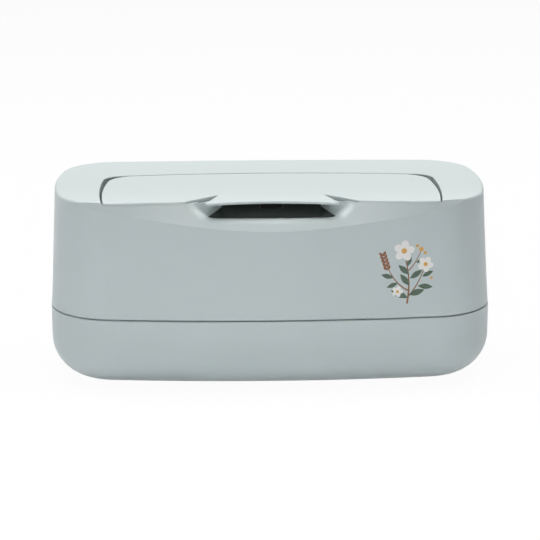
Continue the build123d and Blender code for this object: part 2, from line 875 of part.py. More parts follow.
# Retainer plate under the button, and its two screws
retainer_top_z = top_z - button_room_low
retainer_low_z = retainer_top_z - retainer_thickness
with BuildPart() as latch_retainer:
    with BuildSketch(Plane.XY.offset(retainer_low_z)):
        with BuildLine():
            Polyline(
                (-hood_half_width + retainer_gap, button_room_front_y + retainer_gap),
                (hood_half_width - retainer_gap, button_room_front_y + retainer_gap),
                (hood_half_width - retainer_gap, hood_back_y - retainer_gap),
                (-hood_half_width + retainer_gap, hood_back_y - retainer_gap),
                close=True,
            )
        make_face()
        with Locations((-screw_x, screw_y), (screw_x, screw_y)):
            Circle(screw_radius + screw_hole_gap, mode=Mode.SUBTRACT)
    extrude(amount=retainer_thickness)
latch_retainer.part.label = "latch_retainer"
export_step(latch_retainer.part, "parts/latch_retainer.step")

for screw_name, screw_side in (("retainer_screw_left", -screw_x), ("retainer_screw_right", screw_x)):
    with BuildPart() as screw:
        with BuildSketch(Plane.XY.offset(retainer_low_z - screw_head_height)):
            with Locations((screw_side, screw_y)):
                Circle(screw_head_radius)
        extrude(amount=screw_head_height)
        with BuildSketch(Plane.XY.offset(retainer_low_z)):
            with Locations((screw_side, screw_y)):
                Circle(screw_radius)
        extrude(amount=retainer_thickness + screw_length)
        with BuildSketch(Plane.XY.offset(retainer_low_z - screw_head_height)):
            with Locations((screw_side, screw_y)):
                Rectangle(screw_head_radius, screw_radius / 3)
                Rectangle(screw_radius / 3, screw_head_radius)
        extrude(amount=screw_head_height / 2, mode=Mode.SUBTRACT)
    screw.part.label = screw_name
    export_step(screw.part, f"parts/{screw_name}.step")

# Press plate: a hollow plate with ballast bars under a cover, and a slot for the wipes
plate_top_z = plate_low_z + plate_height
cover_top_z = plate_top_z - cover_gap
cover_low_z = cover_top_z - cover_thickness
plate_inner_z = plate_low_z + plate_skin
ballast_places = [(-ballast_x, 0), (ballast_x, 0)]
leg_places = [(x, y) for x in (-plate_leg_x, plate_leg_x) for y in (-plate_leg_y, plate_leg_y)]
with BuildPart() as press_plate:
    with BuildSketch(Plane.XY.offset(plate_low_z)):
        add(rim_outline(plate_inset))
    extrude(amount=plate_height)
    fillet(press_plate.faces().sort_by(Axis.Z)[0].edges(), plate_edge_round)
    with BuildSketch(Plane.XY.offset(plate_inner_z)):
        add(rim_outline(plate_inset + plate_rim + plate_ledge))
        SlotOverall(slot_length + 2 * slot_wall, slot_width + 2 * slot_wall, mode=Mode.SUBTRACT)
        with Locations(*ballast_places):
            Rectangle(
                ballast_length + 2 * ballast_gap + 2 * ballast_fence,
                ballast_width + 2 * ballast_gap + 2 * ballast_fence,
                mode=Mode.SUBTRACT,
            )
    extrude(amount=cover_low_z - plate_inner_z, mode=Mode.SUBTRACT)
    with BuildSketch(Plane.XY.offset(plate_inner_z)):
        with Locations(*ballast_places):
            Rectangle(ballast_length + 2 * ballast_gap, ballast_width + 2 * ballast_gap)
    extrude(amount=cover_low_z - plate_inner_z, mode=Mode.SUBTRACT)
    with BuildSketch(Plane.XY.offset(cover_low_z)):
        add(rim_outline(plate_inset + plate_rim))
    extrude(amount=plate_height, mode=Mode.SUBTRACT)
    with BuildSketch(Plane.XY.offset(plate_low_z)):
        SlotOverall(slot_length, slot_width)
    extrude(amount=plate_height, mode=Mode.SUBTRACT)
    with BuildSketch(Plane.XY.offset(inner_floor_z)):
        with Locations(*leg_places):
            Circle(plate_leg_radius)
    extrude(amount=plate_leg_height)
press_plate.part.label = "press_plate"
export_step(press_plate.part, "parts/press_plate.step")

with BuildPart() as press_plate_cover:
    with BuildSketch(Plane.XY.offset(cover_low_z)):
        add(rim_outline(plate_inset + plate_rim + cover_gap))
        SlotOverall(slot_length, slot_width, mode=Mode.SUBTRACT)
    extrude(amount=cover_thickness)
press_plate_cover.part.label = "press_plate_cover"
export_step(press_plate_cover.part, "parts/press_plate_cover.step")

for ballast_name, ballast_place in zip(("ballast_left", "ballast_right"), ballast_places):
    with BuildPart() as ballast:
        with BuildSketch(Plane.XY.offset(plate_inner_z)):
            with Locations(ballast_place):
                Rectangle(ballast_length, ballast_width)
        extrude(amount=ballast_height)
    ballast.part.label = ballast_name
    export_step(ballast.part, f"parts/{ballast_name}.step")
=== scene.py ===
"""Looks of a baby wipes box: moulded polypropylene, silicone seals, steel and a small print."""

import logging
import math
from dataclasses import dataclass
from enum import Enum

import bmesh
import bpy
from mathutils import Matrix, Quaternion, Vector
from mathutils.bvhtree import BVHTree


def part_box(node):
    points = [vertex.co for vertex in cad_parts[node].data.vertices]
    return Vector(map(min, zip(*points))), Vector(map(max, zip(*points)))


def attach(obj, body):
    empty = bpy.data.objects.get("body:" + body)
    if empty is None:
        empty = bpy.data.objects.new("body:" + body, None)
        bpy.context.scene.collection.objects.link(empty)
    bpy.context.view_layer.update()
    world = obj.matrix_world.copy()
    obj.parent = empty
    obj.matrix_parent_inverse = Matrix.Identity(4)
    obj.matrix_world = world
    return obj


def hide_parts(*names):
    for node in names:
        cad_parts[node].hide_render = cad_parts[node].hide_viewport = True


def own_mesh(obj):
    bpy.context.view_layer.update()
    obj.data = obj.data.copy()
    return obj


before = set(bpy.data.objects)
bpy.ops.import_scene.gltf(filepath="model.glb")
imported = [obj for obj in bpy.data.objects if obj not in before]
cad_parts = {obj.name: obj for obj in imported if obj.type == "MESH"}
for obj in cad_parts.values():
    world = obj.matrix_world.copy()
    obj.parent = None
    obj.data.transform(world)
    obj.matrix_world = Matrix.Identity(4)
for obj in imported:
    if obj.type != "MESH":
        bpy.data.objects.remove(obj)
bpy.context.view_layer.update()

MILLIMETRE = 0.001
# The body's pale grey-green, and the shade that it drifts to along the flow of the melt
BODY_COLOUR = "#CCD7D6"
BODY_FLOW_COLOUR = "#CAD5D4"
LOG = logging.getLogger("wipes_box")


def hex_colour(code: str) -> tuple[float, float, float, float]:
    """Turn an sRGB hex colour into linear light.

    Args:
        code: Six hex digits after a hash, such as "#C8D2D1".

    Returns:
        Linear red, green, blue and an alpha of one.
    """
    linear = []
    for start in (1, 3, 5):
        share = int(code[start:start + 2], 16) / 255
        linear.append(share / 12.92 if share <= 0.04045 else ((share + 0.055) / 1.055) ** 2.4)
    return (*linear, 1.0)


def add_node(
    tree: bpy.types.NodeTree,
    kind: str,
    sockets: dict[str | int, object] | None = None,
    **settings: object,
) -> bpy.types.Node:
    """Add a shader node, with its settings, values and links.

    Args:
        tree: The node tree that takes the node.
        kind: The node's type name.
        sockets: Input name or number to a value, or to the output that feeds it.
        **settings: Attributes of the node itself.

    Returns:
        The new node.
    """
    node = tree.nodes.new(kind)
    for name, value in settings.items():
        setattr(node, name, value)
    for name, value in (sockets or {}).items():
        if isinstance(value, bpy.types.NodeSocket):
            tree.links.new(value, node.inputs[name])
        else:
            node.inputs[name].default_value = value
    return node


def new_material(name: str) -> tuple[bpy.types.Material, bpy.types.NodeTree, bpy.types.Node]:
    """Make an empty node material.

    Args:
        name: The real material's name.

    Returns:
        The material, its node tree and its output node.
    """
    material = bpy.data.materials.new(name)
    material.use_nodes = True
    tree = material.node_tree
    tree.nodes.clear()
    return material, tree, add_node(tree, "ShaderNodeOutputMaterial")


@dataclass(frozen=True)
class MouldedPlastic:
    """Injection-moulded plastic: a satin skin with the fine grain of a spark-eroded mould."""

    name: str
    colour: str
    flow_colour: str
    roughness: float = 0.42
    ior: float = 1.49
    grain_mm: float = 0.35
    grain_depth_mm: float = 0.006
    flow_mm: float = 90.0
    gloss_drift: float = 0.04

    def material(self) -> bpy.types.Material:
        """Build the material.

        Returns:
            A material with faint flow marks, an even grain and a roughness that varies a little.
        """
        material, tree, output = new_material(self.name)
        place = add_node(tree, "ShaderNodeTexCoord").outputs["Object"]
        flow = add_node(
            tree,
            "ShaderNodeTexNoise",
            {"Vector": place, "Scale": 1 / (self.flow_mm * MILLIMETRE), "Detail": 2.0},
        )
        colour = add_node(
            tree,
            "ShaderNodeMix",
            {0: flow.outputs["Fac"], 6: hex_colour(self.colour), 7: hex_colour(self.flow_colour)},
            data_type="RGBA",
        ).outputs[2]
        colour = self.surface_colour(tree, place, colour)
        grain = add_node(
            tree,
            "ShaderNodeTexNoise",
            {"Vector": place, "Scale": 1 / (self.grain_mm * MILLIMETRE), "Detail": 3.0},
        )
        bump = add_node(
            tree,
            "ShaderNodeBump",
            {"Height": grain.outputs["Fac"], "Distance": self.grain_depth_mm * MILLIMETRE},
        )
        gloss = add_node(
            tree,
            "ShaderNodeMapRange",
            {
                0: grain.outputs["Fac"],
                3: self.roughness - self.gloss_drift,
                4: self.roughness + self.gloss_drift,
            },
        )
        surface = add_node(
            tree,
            "ShaderNodeBsdfPrincipled",
            {
                "Base Color": colour,
                "Roughness": gloss.outputs[0],
                "IOR": self.ior,
                "Normal": bump.outputs["Normal"],
            },
        )
        tree.links.new(surface.outputs[0], output.inputs["Surface"])
        return material

    def surface_colour(
        self, tree: bpy.types.NodeTree, place: bpy.types.NodeSocket, plastic: bpy.types.NodeSocket
    ) -> bpy.types.NodeSocket:
        """Keep one pigment throughout.

        Args:
            tree: The node tree.
            place: Place on the part, in metres.
            plastic: Colour of the plastic.

        Returns:
            The colour of the surface.
        """
        return plastic


@dataclass(frozen=True)
class PlasticWithPaintedShade(MouldedPlastic):
    """The same plastic with painted shade: near-black colour painted into the low part of the
    finger recess.

    The painted shade covers the recess's floor and rear wall. Seen from the front, it is widest at
    the floor and narrows upward. Its sizes are places on the box in millimetres, and half widths
    from its middle.
    """

    # Painted shade: the near-black colour that stands in for the shade in the recess
    painted_shade_colour: str = "#28322C"
    low_mm: float = 84.2
    high_mm: float = 94.2
    narrow_mm: float = 90.6
    half_width_mm: float = 25.2
    half_width_low_mm: float = 37.8
    edge_mm: float = 0.8
    front_mm: float = -43.8
    rear_low_mm: float = -37.3
    rear_lean: float = 0.567

    def surface_colour(
        self, tree: bpy.types.NodeTree, place: bpy.types.NodeSocket, plastic: bpy.types.NodeSocket
    ) -> bpy.types.NodeSocket:
        """Paint the recess's shade into the plastic's colour.

        Args:
            tree: The node tree.
            place: Place on the part, in metres.
            plastic: Colour of the plastic.

        Returns:
            The colour of the surface.
        """
        x, y, z = add_node(tree, "ShaderNodeSeparateXYZ", {"Vector": place}).outputs
        half_width = add_node(
            tree,
            "ShaderNodeMapRange",
            {
                0: z,
                1: self.low_mm * MILLIMETRE,
                2: self.narrow_mm * MILLIMETRE,
                3: self.half_width_low_mm * MILLIMETRE,
                4: self.half_width_mm * MILLIMETRE,
            },
        )
        across = add_node(tree, "ShaderNodeMath", {0: x}, operation="ABSOLUTE")
        past_edge = add_node(
            tree,
            "ShaderNodeMath",
            {0: half_width.outputs[0], 1: across.outputs[0]},
            operation="SUBTRACT",
        )
        painted_shade_mask = add_node(
            tree,
            "ShaderNodeMapRange",
            {0: past_edge.outputs[0], 1: 0.0, 2: self.edge_mm * MILLIMETRE},
        ).outputs[0]
        upright_y = add_node(
            tree, "ShaderNodeMath", {0: z, 1: -self.rear_lean, 2: y}, operation="MULTIPLY_ADD"
        ).outputs[0]
        for measure, side, limit_mm in (
            (z, "GREATER_THAN", self.low_mm),
            (z, "LESS_THAN", self.high_mm),
            (y, "GREATER_THAN", self.front_mm),
            (upright_y, "LESS_THAN", self.rear_low_mm - self.rear_lean * self.low_mm),
        ):
            passed = add_node(
                tree, "ShaderNodeMath", {0: measure, 1: limit_mm * MILLIMETRE}, operation=side
            )
            painted_shade_mask = add_node(
                tree, "ShaderNodeMath", {0: painted_shade_mask, 1: passed.outputs[0]}, operation="MULTIPLY"
            ).outputs[0]
        # Painted shade: the masked floor and rear wall of the recess turn near-black
        return add_node(
            tree,
            "ShaderNodeMix",
            {0: painted_shade_mask, 6: plastic, 7: hex_colour(self.painted_shade_colour)},
            data_type="RGBA",
        ).outputs[2]


@dataclass(frozen=True)
class SoftRubber:
    """Silicone or soft TPE: a matte skin with a powdery bloom and a fine mould texture."""

    name: str
    colour: str
    bloom_colour: str
    roughness: float = 0.68
    ior: float = 1.43
    bloom_mm: float = 8.333
    grain_mm: float = 0.5
    grain_depth_mm: float = 0.02

    def material(self) -> bpy.types.Material:
        """Build the material.

        Returns:
            A matte material with a cloudy bloom.
        """
        material, tree, output = new_material(self.name)
        place = add_node(tree, "ShaderNodeTexCoord").outputs["Object"]
        cloud = add_node(
            tree,
            "ShaderNodeTexNoise",
            {"Vector": place, "Scale": 1 / (self.bloom_mm * MILLIMETRE), "Detail": 4.0},
        )
        colour = add_node(
            tree,
            "ShaderNodeMix",
            {0: cloud.outputs["Fac"], 6: hex_colour(self.colour), 7: hex_colour(self.bloom_colour)},
            data_type="RGBA",
        )
        grain = add_node(
            tree,
            "ShaderNodeTexNoise",
            {"Vector": place, "Scale": 1 / (self.grain_mm * MILLIMETRE), "Detail": 4.0},
        )
        bump = add_node(
            tree,
            "ShaderNodeBump",
            {"Height": grain.outputs["Fac"], "Distance": self.grain_depth_mm * MILLIMETRE},
        )
        surface = add_node(
            tree,
            "ShaderNodeBsdfPrincipled",
            {
                "Base Color": colour.outputs[2],
                "Roughness": self.roughness,
                "IOR": self.ior,
                "Normal": bump.outputs["Normal"],
            },
        )
        tree.links.new(surface.outputs[0], output.inputs["Surface"])
        return material


class Grain(Enum):
    """The way a metal's surface was worked: the axis that its fine lines run along."""

    ALONG_X = (0.02, 1.0, 1.0)
    ALONG_Y = (1.0, 0.02, 1.0)
    NONE = (1.0, 1.0, 1.0)


@dataclass(frozen=True)
class WorkedSteel:
    """Steel with the fine lines that drawing, rolling or stamping leaves.

    Its roughness drifts from smoother to rougher along the lines.
    """

    name: str
    colour: str
    grain: Grain
    roughness: float = 0.32
    line_mm: float = 0.12
    line_depth_mm: float = 0.004
    smoother: float = 0.08
    rougher: float = 0.12

    def material(self) -> bpy.types.Material:
        """Build the material.

        Returns:
            A metal with lines along its grain and a roughness that follows them.
        """
        material, tree, output = new_material(self.name)
        place = add_node(tree, "ShaderNodeTexCoord").outputs["Object"]
        stretched = add_node(
            tree, "ShaderNodeMapping", {"Vector": place, "Scale": self.grain.value}
        )
        lines = add_node(
            tree,
            "ShaderNodeTexNoise",
            {
                "Vector": stretched.outputs[0],
                "Scale": 1 / (self.line_mm * MILLIMETRE),
                "Detail": 3.0,
            },
        )
        gloss = add_node(
            tree,
            "ShaderNodeMapRange",
            {
                0: lines.outputs["Fac"],
                3: self.roughness - self.smoother,
                4: self.roughness + self.rougher,
            },
        )
        bump = add_node(
            tree,
            "ShaderNodeBump",
            {"Height": lines.outputs["Fac"], "Distance": self.line_depth_mm * MILLIMETRE},
        )
        surface = add_node(
            tree,
            "ShaderNodeBsdfPrincipled",
            {
                "Base Color": hex_colour(self.colour),
                "Metallic": 1.0,
                "Roughness": gloss.outputs[0],
                "Normal": bump.outputs["Normal"],
            },
        )
        tree.links.new(surface.outputs[0], output.inputs["Surface"])
        return material


@dataclass(frozen=True)
class PadPrintInk:
    """Two-component ink laid down by pad printing: a thin, even film with a soft sheen."""

    name: str
    colour: str
    under_colour: str = BODY_COLOUR
    roughness: float = 0.36
    gloss_drift: float = 0.05
    ior: float = 1.5
    film_mm: float = 0.8
    thin_from: float = 0.35
    thin_to: float = 0.75
    show_through: float = 0.08

    def material(self) -> bpy.types.Material:
        """Build the material.

        Returns:
            An ink whose colour and sheen drift a little where the film is thinner.
        """
        material, tree, output = new_material(self.name)
        place = add_node(tree, "ShaderNodeTexCoord").outputs["Object"]
        film = add_node(
            tree,
            "ShaderNodeTexNoise",
            {"Vector": place, "Scale": 1 / (self.film_mm * MILLIMETRE), "Detail": 3.0},
        )
        thinner = add_node(
            tree,
            "ShaderNodeMapRange",
            {
                0: film.outputs["Fac"],
                1: self.thin_from,
                2: self.thin_to,
                3: 0.0,
                4: self.show_through,
            },
        )
        colour = add_node(
            tree,
            "ShaderNodeMix",
            {0: thinner.outputs[0], 6: hex_colour(self.colour), 7: hex_colour(self.under_colour)},
            data_type="RGBA",
        )
        gloss = add_node(
            tree,
            "ShaderNodeMapRange",
            {
                0: film.outputs["Fac"],
                3: self.roughness - self.gloss_drift,
                4: self.roughness + self.gloss_drift,
            },
        )
        surface = add_node(
            tree,
            "ShaderNodeBsdfPrincipled",
            {"Base Color": colour.outputs[2], "Roughness": gloss.outputs[0], "IOR": self.ior},
        )
        tree.links.new(surface.outputs[0], output.inputs["Surface"])
        return material


# Satin polypropylene in a pale grey-green, as moulded: soft broad highlights and no sparkle
BODY_POLYPROPYLENE = MouldedPlastic("polypropylene_satin", BODY_COLOUR, BODY_FLOW_COLOUR)
# The shell's plastic, with near-black painted shade in the bottom of its finger recess
SHELL_POLYPROPYLENE = PlasticWithPaintedShade("polypropylene_painted_shade", BODY_COLOUR, BODY_FLOW_COLOUR)
# Acetal of the small latch parts: dark, with a warm cast, and a little shinier
LATCH_ACETAL = MouldedPlastic("acetal_dark_brown", "#2C2624", "#292322", roughness=0.38)
# Polypropylene of the press plate: off-white and a little coarser
PLATE_POLYPROPYLENE = MouldedPlastic("polypropylene_white", "#E2E6E4", "#DEE2E0", roughness=0.5)
# Silicone seals: pale, matte and slightly cloudy
SEAL_SILICONE = SoftRubber("silicone_pale", "#C4CAC8", "#CDD2D0")
# Soft feet: mid grey and dry to the touch
FOOT_ELASTOMER = SoftRubber("tpe_grey", "#8E9391", "#999E9C", roughness=0.75)
# Drawn stainless steel pins, with lines along the wire
PIN_STEEL = WorkedSteel("stainless_steel_drawn", "#C9CACA", Grain.ALONG_X, roughness=0.25)
# Bright spring strip, rolled and stamped, with lines along the strip
SPRING_STEEL = WorkedSteel("spring_steel_strip", "#A3A29F", Grain.ALONG_X)
# Zinc-plated screws, turned and tumbled
SCREW_STEEL = WorkedSteel("zinc_plated_steel", "#C4C6C8", Grain.NONE, roughness=0.3)
# Hot-rolled ballast bars: dark scale with lines along the rolling direction
BALLAST_STEEL = WorkedSteel(
    "rolled_steel_bar", "#6E6C6A", Grain.ALONG_Y, roughness=0.55, line_mm=0.4
)
# Inks of the printed sprig, laid down one colour after another
STALK_INK = PadPrintInk("ink_brown", "#8C5A36")
LEAF_INK = PadPrintInk("ink_dark_green", "#485E4B")
PETAL_INK = PadPrintInk("ink_white", "#FCFBF7")
POLLEN_INK = PadPrintInk("ink_ochre", "#D8A34C")


def dress(nodes: tuple[str, ...], material: bpy.types.Material) -> None:
    """Give CAD nodes a material in their own slots.

    Args:
        nodes: Names of the nodes.
        material: The material that they share.
    """
    for name in nodes:
        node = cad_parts[name]
        if not node.material_slots:
            node.data.materials.append(material)
        for slot in node.material_slots:
            slot.material = material
        LOG.info("dressed %s in %s", name, material.name)


@dataclass(frozen=True)
class Tray:
    """The lower tray with its feet and the seal round its tongue."""

    feet: tuple[str, ...] = (
        "foot_front_left",
        "foot_rear_left",
        "foot_front_right",
        "foot_rear_right",
    )

    def build(self, plastic: bpy.types.Material, seal: bpy.types.Material) -> None:
        """Dress the tray, its feet and its seal.

        Args:
            plastic: The body's plastic.
            seal: The silicone of the seals.
        """
        dress(("base_tray",), plastic)
        dress(self.feet, FOOT_ELASTOMER.material())
        dress(("rim_seal",), seal)


@dataclass(frozen=True)
class LeafSpring:
    """The latch's return spring: a bowed strip that the button presses flat against the wall.

    pressed_share, what would be left of its depth at full press, is not used.
    """

    strip_mm: float = 0.3
    steps: int = 24
    pressed_share: float = 0.12

    def build(self) -> bpy.types.Object:
        """Bend the strip in the place of the CAD's spring.

        Returns:
            The piece, which rides on the shell.
        """
        low, high = (Vector(corner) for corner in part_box("latch_spring"))
        middle_x = (low.x + high.x) / 2
        half = (high.x - low.x) / 2
        strip = self.strip_mm * MILLIMETRE
        bow = high.y - low.y - strip
        radius = (half * half + bow * bow) / (2 * bow)
        mesh = bmesh.new()
        rings = []
        for step in range(self.steps + 1):
            across = half * (2 * step / self.steps - 1)
            front = low.y + radius - math.sqrt(radius * radius - across * across)
            corners = (
                (front, low.z),
                (front + strip, low.z),
                (front + strip, high.z),
                (front, high.z),
            )
            rings.append([mesh.verts.new((middle_x + across, y, z)) for y, z in corners])
        for near, far in zip(rings, rings[1:]):
            for corner, here in enumerate(near):
                beyond = (corner + 1) % len(near)
                mesh.faces.new((here, near[beyond], far[beyond], far[corner]))
        mesh.faces.new(rings[0])
        mesh.faces.new(rings[-1])
        bmesh.ops.recalc_face_normals(mesh, faces=mesh.faces)
        data = bpy.data.meshes.new("leaf_spring")
        mesh.to_mesh(data)
        mesh.free()
        data.materials.append(SPRING_STEEL.material())
        piece = bpy.data.objects.new("leaf_spring", data)
        bpy.context.scene.collection.objects.link(piece)
        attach(piece, "shell")
        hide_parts("latch_spring")
        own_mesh(piece)
        LOG.info("bent leaf_spring")
        return piece


@dataclass(frozen=True)
class Shell:
    """The top shell with its hinge pins, its seal and the parts that hold the latch."""

    hinge_pins: tuple[str, ...] = ("hinge_pin_left", "hinge_pin_right")
    screws: tuple[str, ...] = ("retainer_screw_left", "retainer_screw_right")

    def build(self, seal: bpy.types.Material) -> None:
        """Dress the shell and what is fixed to it.

        Args:
            seal: The silicone of the seals.
        """
        dress(("top_shell",), SHELL_POLYPROPYLENE.material())
        dress(("lid_seal",), seal)
        dress(self.hinge_pins, PIN_STEEL.material())
        dress(("latch_retainer", "latch_button"), LATCH_ACETAL.material())
        LeafSpring().build()
        dress(self.screws, SCREW_STEEL.material())


@dataclass(frozen=True)
class Lid:
    """The lid with its lifting tab."""

    def build(self, plastic: bpy.types.Material) -> None:
        """Dress the lid.

        Args:
            plastic: The body's plastic.
        """
        dress(("lid",), plastic)


@dataclass(frozen=True)
class PressPlate:
    """The weighted plate that lies on the wipes."""

    def build(self) -> None:
        """Dress the plate, its cover and its ballast."""
        dress(("press_plate", "press_plate_cover"), PLATE_POLYPROPYLENE.material())
        dress(("ballast_left", "ballast_right"), BALLAST_STEEL.material())


Point = tuple[float, float]
Strip = tuple[list[Point], list[Point]]
# Steps along a printed shape's edges, fine enough for its curves to look smooth from close up
BLADE_STEPS = 12
DOT_STEPS = 12
STALK_STEPS = 18
# Share of its width that a stalk loses by its tip
STALK_TAPER = 0.45


def blade(
    root: Point,
    angle: float,
    length: float,
    width: float,
    belly: float = 1.0,
    bluntness: float = 1.0,
) -> Strip:
    """Draw a leaf or a petal as a strip between two edges.

    Args:
        root: Where it starts, in millimetres across and up.
        angle: The way it points, in degrees from straight up, clockwise.
        length: Its length in millimetres.
        width: Its greatest width in millimetres.
        belly: Above one moves the widest place toward the root, and below one toward the tip.
        bluntness: One for a pointed tip, and less for a rounder one.

    Returns:
        The left and the right edge.
    """
    turn = math.radians(angle)
    ahead = (math.sin(turn), math.cos(turn))
    left, right = [], []
    for step in range(BLADE_STEPS + 1):
        share = step / BLADE_STEPS
        half = width / 2 * abs(math.sin(math.pi * share ** (1 / belly))) ** bluntness
        x = root[0] + ahead[0] * length * share
        z = root[1] + ahead[1] * length * share
        left.append((x - ahead[1] * half, z + ahead[0] * half))
        right.append((x + ahead[1] * half, z - ahead[0] * half))
    return left, right


def dot(middle: Point, radius: float) -> Strip:
    """Draw a round spot as a strip between two edges.

    Args:
        middle: Its middle, in millimetres across and up.
        radius: Its radius in millimetres.

    Returns:
        The left and the right edge.
    """
    turns = [math.pi * step / DOT_STEPS for step in range(DOT_STEPS + 1)]
    offsets = [(radius * math.sin(turn), radius * math.cos(turn)) for turn in turns]
    left = [(middle[0] - out, middle[1] - up) for out, up in offsets]
    right = [(middle[0] + out, middle[1] - up) for out, up in offsets]
    return left, right


def stalk(start: Point, bend: Point, end: Point, width: float) -> Strip:
    """Draw a bent stalk that thins toward its end.

    Args:
        start: Its foot, in millimetres across and up.
        bend: The point that pulls it into a bow.
        end: Its tip.
        width: Its width at the foot, in millimetres.

    Returns:
        The left and the right edge.
    """
    left, right = [], []
    for step in range(STALK_STEPS + 1):
        share = step / STALK_STEPS
        rest = 1 - share
        x, z = (
            rest * rest * start[axis] + 2 * rest * share * bend[axis] + share * share * end[axis]
            for axis in (0, 1)
        )
        run_x, run_z = (
            rest * (bend[axis] - start[axis]) + share * (end[axis] - bend[axis]) for axis in (0, 1)
        )
        half = width * (1 - STALK_TAPER * share) / 2 / math.hypot(run_x, run_z)
        left.append((x - run_z * half, z + run_x * half))
        right.append((x + run_z * half, z - run_x * half))
    return left, right


@dataclass(frozen=True)
class Bloom:
    """One printed flower, sized in millimetres.

    length and width are a petal's, first_angle turns all its petals, and spot_radius is that of the
    round spot in its middle.
    """

    middle: Point
    length: float
    width: float
    first_angle: float
    spot_radius: float


@dataclass(frozen=True)
class SeedHead:
    """The printed ear: pairs of small blades that climb along a leaning stalk."""

    foot: Point = (-9.3, 1.2)
    lean: float = 0.32
    pairs: int = 5
    pitch: float = 1.75
    angles: tuple[float, float] = (-52.0, 22.0)
    length: float = 2.9
    width: float = 1.5


